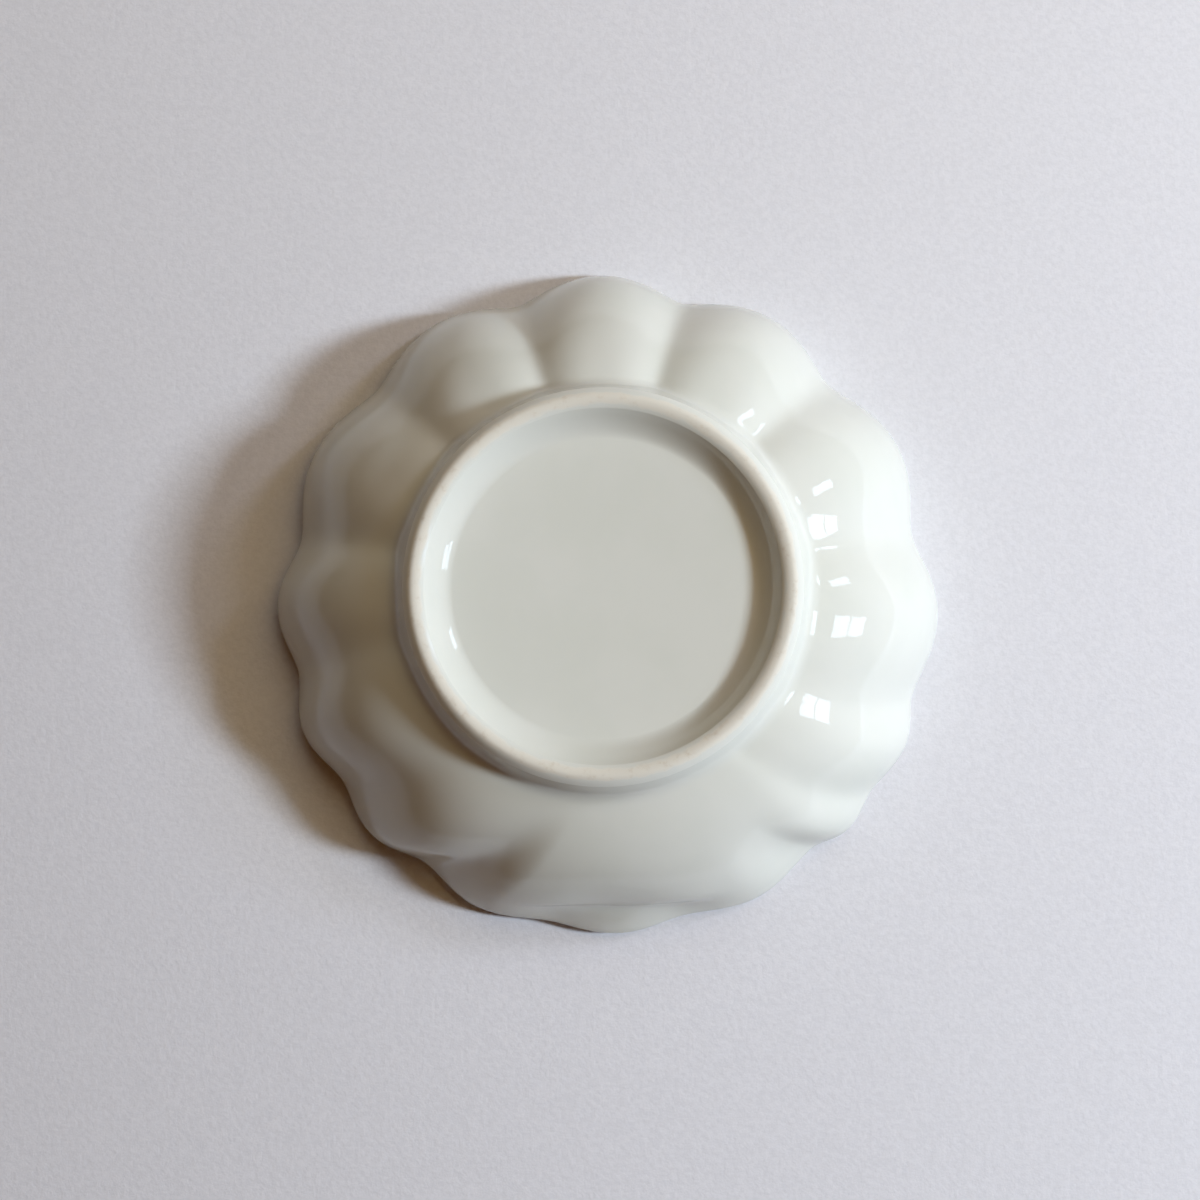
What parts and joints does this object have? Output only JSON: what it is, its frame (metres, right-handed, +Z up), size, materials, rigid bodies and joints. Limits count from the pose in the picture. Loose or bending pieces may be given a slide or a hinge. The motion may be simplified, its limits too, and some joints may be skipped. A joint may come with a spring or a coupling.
{
  "type": "shell dish",
  "caption": "Small white glazed porcelain dish shaped like a scallop shell, with a fluted wall, a scalloped rim and a round foot ring with a bare edge.",
  "frame": {"origin": "centre of the foot ring on its bearing plane, which is the plane the dish stands on", "axes": "+Z up along the axis of the foot ring, out of the mouth of the dish; +Y toward the fan end of the shell, -Y toward its hinge end"},
  "size_m": [0.0907, 0.0908, 0.023],
  "materials": {
    "porcelain_body": "fired porcelain, matt",
    "bare_foot": "bare fired porcelain, ground flat, cream to tan",
    "white_glaze": "clear glaze over white porcelain, gloss"
  },
  "bodies": {
    "root": {"fluted_bowl": "porcelain_body", "foot_ring": "bare_foot", "bowl_glaze": "white_glaze", "foot_well_glaze": "white_glaze"}
  },
  "joints": []
}
